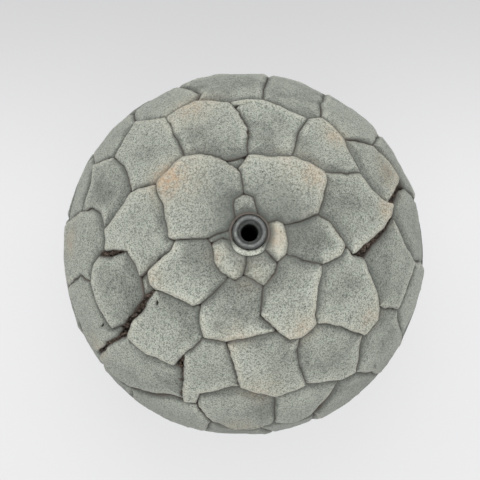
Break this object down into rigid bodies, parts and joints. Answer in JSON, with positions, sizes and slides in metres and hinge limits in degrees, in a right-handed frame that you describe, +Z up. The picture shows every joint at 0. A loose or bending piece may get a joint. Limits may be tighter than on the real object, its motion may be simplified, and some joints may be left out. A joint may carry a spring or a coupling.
{
  "type": "flower frog",
  "caption": "Hollow hand-built stoneware ball clad in torn, overlapping clay pads, with a flared tube at the crown that holds a single stem and a flat foot to stand on.",
  "frame": {"origin": "centre of the foot on the table, under the axis of the stem tube", "axes": "+Z up along the stem tube; +X to the right and +Y away as seen from the front"},
  "size_m": [0.1253, 0.1257, 0.118],
  "materials": {
    "pad_glaze": "matt speckled grey-green glaze, paler on raised edges",
    "crown_glaze": "matt speckled pale grey glaze with cream and peach breaks",
    "neck_glaze": "satin grey glaze",
    "bare_clay": "unglazed grogged stoneware"
  },
  "bodies": {
    "root": {"foot_disc": "bare_clay", "lower_bowl": "bare_clay", "upper_bowl": "bare_clay", "neck_tube": "neck_glaze", "collar_coil": "neck_glaze", "pad_crown_n": "crown_glaze", "pad_crown_e": "crown_glaze", "pad_crown_s": "crown_glaze", "pad_crown_sw": "crown_glaze", "pad_crown_w": "crown_glaze", "pad_inner_nw": "crown_glaze", "pad_inner_ne": "crown_glaze", "pad_infill_n": "pad_glaze", "pad_inner_e": "pad_glaze", "pad_inner_se": "pad_glaze", "pad_inner_s": "pad_glaze", "pad_inner_sw": "pad_glaze", "pad_infill_w": "pad_glaze", "pad_mid_wnw": "pad_glaze", "pad_mid_nw": "pad_glaze", "pad_mid_nnw": "pad_glaze", "pad_mid_nne": "pad_glaze", "pad_mid_ne": "pad_glaze", "pad_strip_ene": "pad_glaze", "pad_mid_ene": "pad_glaze", "pad_mid_ese": "pad_glaze", "pad_mid_se": "pad_glaze", "pad_mid_s": "pad_glaze", "pad_mid_ssw": "pad_glaze", "pad_mid_sw": "pad_glaze", "pad_mid_w": "pad_glaze", "pad_outer_w": "pad_glaze", "pad_outer_wnw": "pad_glaze", "pad_outer_nw": "pad_glaze", "pad_rim_wnw": "pad_glaze", "pad_outer_nnw": "pad_glaze", "pad_outer_n": "pad_glaze", "pad_outer_nne": "pad_glaze", "pad_outer_ne": "pad_glaze", "pad_rim_ene": "pad_glaze", "pad_outer_e": "pad_glaze", "pad_outer_ese": "pad_glaze", "pad_rim_ese": "pad_glaze", "pad_outer_se": "pad_glaze", "pad_outer_sse": "pad_glaze", "pad_outer_s": "pad_glaze", "pad_outer_ssw": "pad_glaze", "pad_outer_sw": "pad_glaze", "pad_outer_wsw": "pad_glaze", "pad_rim_ssw": "pad_glaze", "low_course_1_ne": "pad_glaze", "low_course_1_nw": "pad_glaze", "low_course_1_sw": "pad_glaze", "low_course_1_se": "pad_glaze", "low_course_2_n": "pad_glaze", "low_course_2_w": "pad_glaze", "low_course_2_e": "pad_glaze", "low_course_3_n": "pad_glaze", "low_course_3_s": "pad_glaze"}
  },
  "joints": []
}
